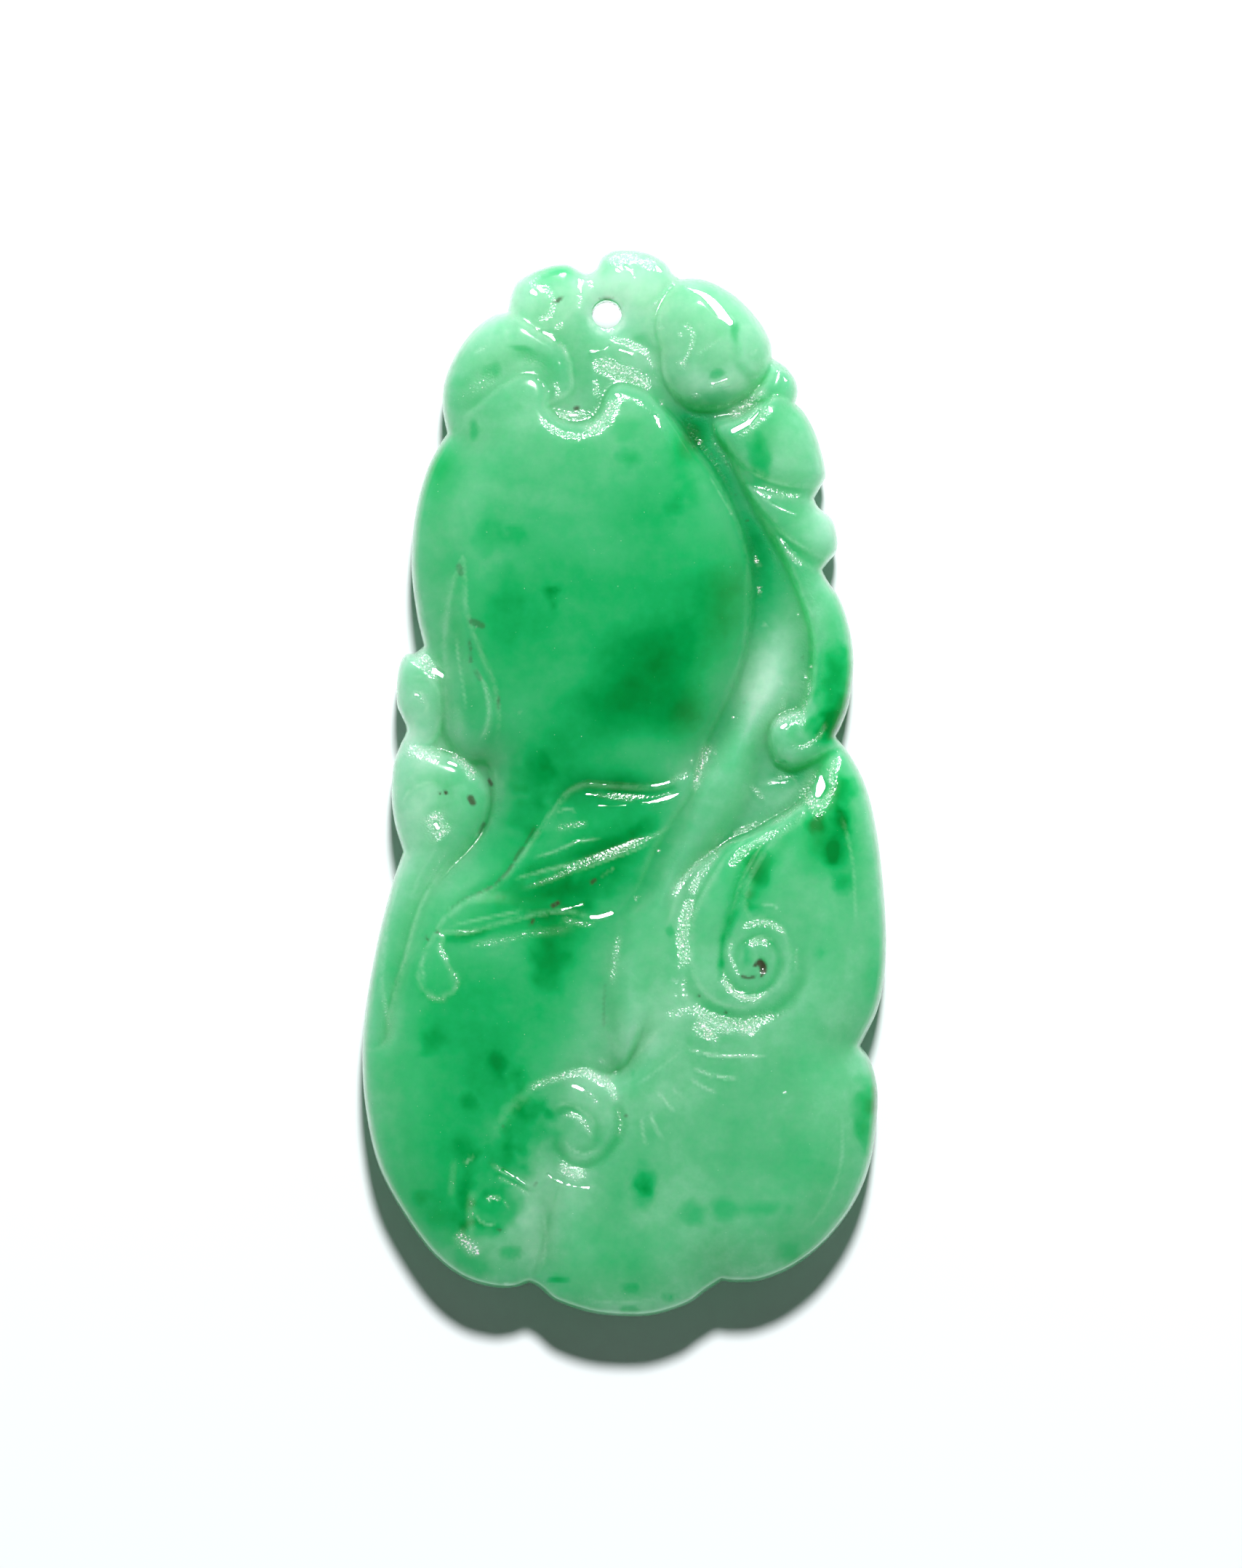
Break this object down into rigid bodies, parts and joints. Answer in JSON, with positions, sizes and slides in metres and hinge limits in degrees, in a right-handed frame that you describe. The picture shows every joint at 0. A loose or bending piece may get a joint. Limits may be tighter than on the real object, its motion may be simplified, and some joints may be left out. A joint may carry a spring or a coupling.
{
  "type": "gourd pendant",
  "caption": "Carved jadeite pendant in the form of a double gourd with leaves, tendrils and a lingzhi fungus, drilled at the top.",
  "frame": {"origin": "centre of the bounding box on the flat back", "axes": "+Z out of the carved front, +Y towards the drilled top end, +X to the right as seen from the front"},
  "size_m": [0.0246, 0.05, 0.006],
  "materials": {
    "jade": "polished translucent green jadeite, paler at the edges, matt in the cut recesses"
  },
  "bodies": {
    "root": {"jade_pendant": "jade"}
  },
  "joints": []
}
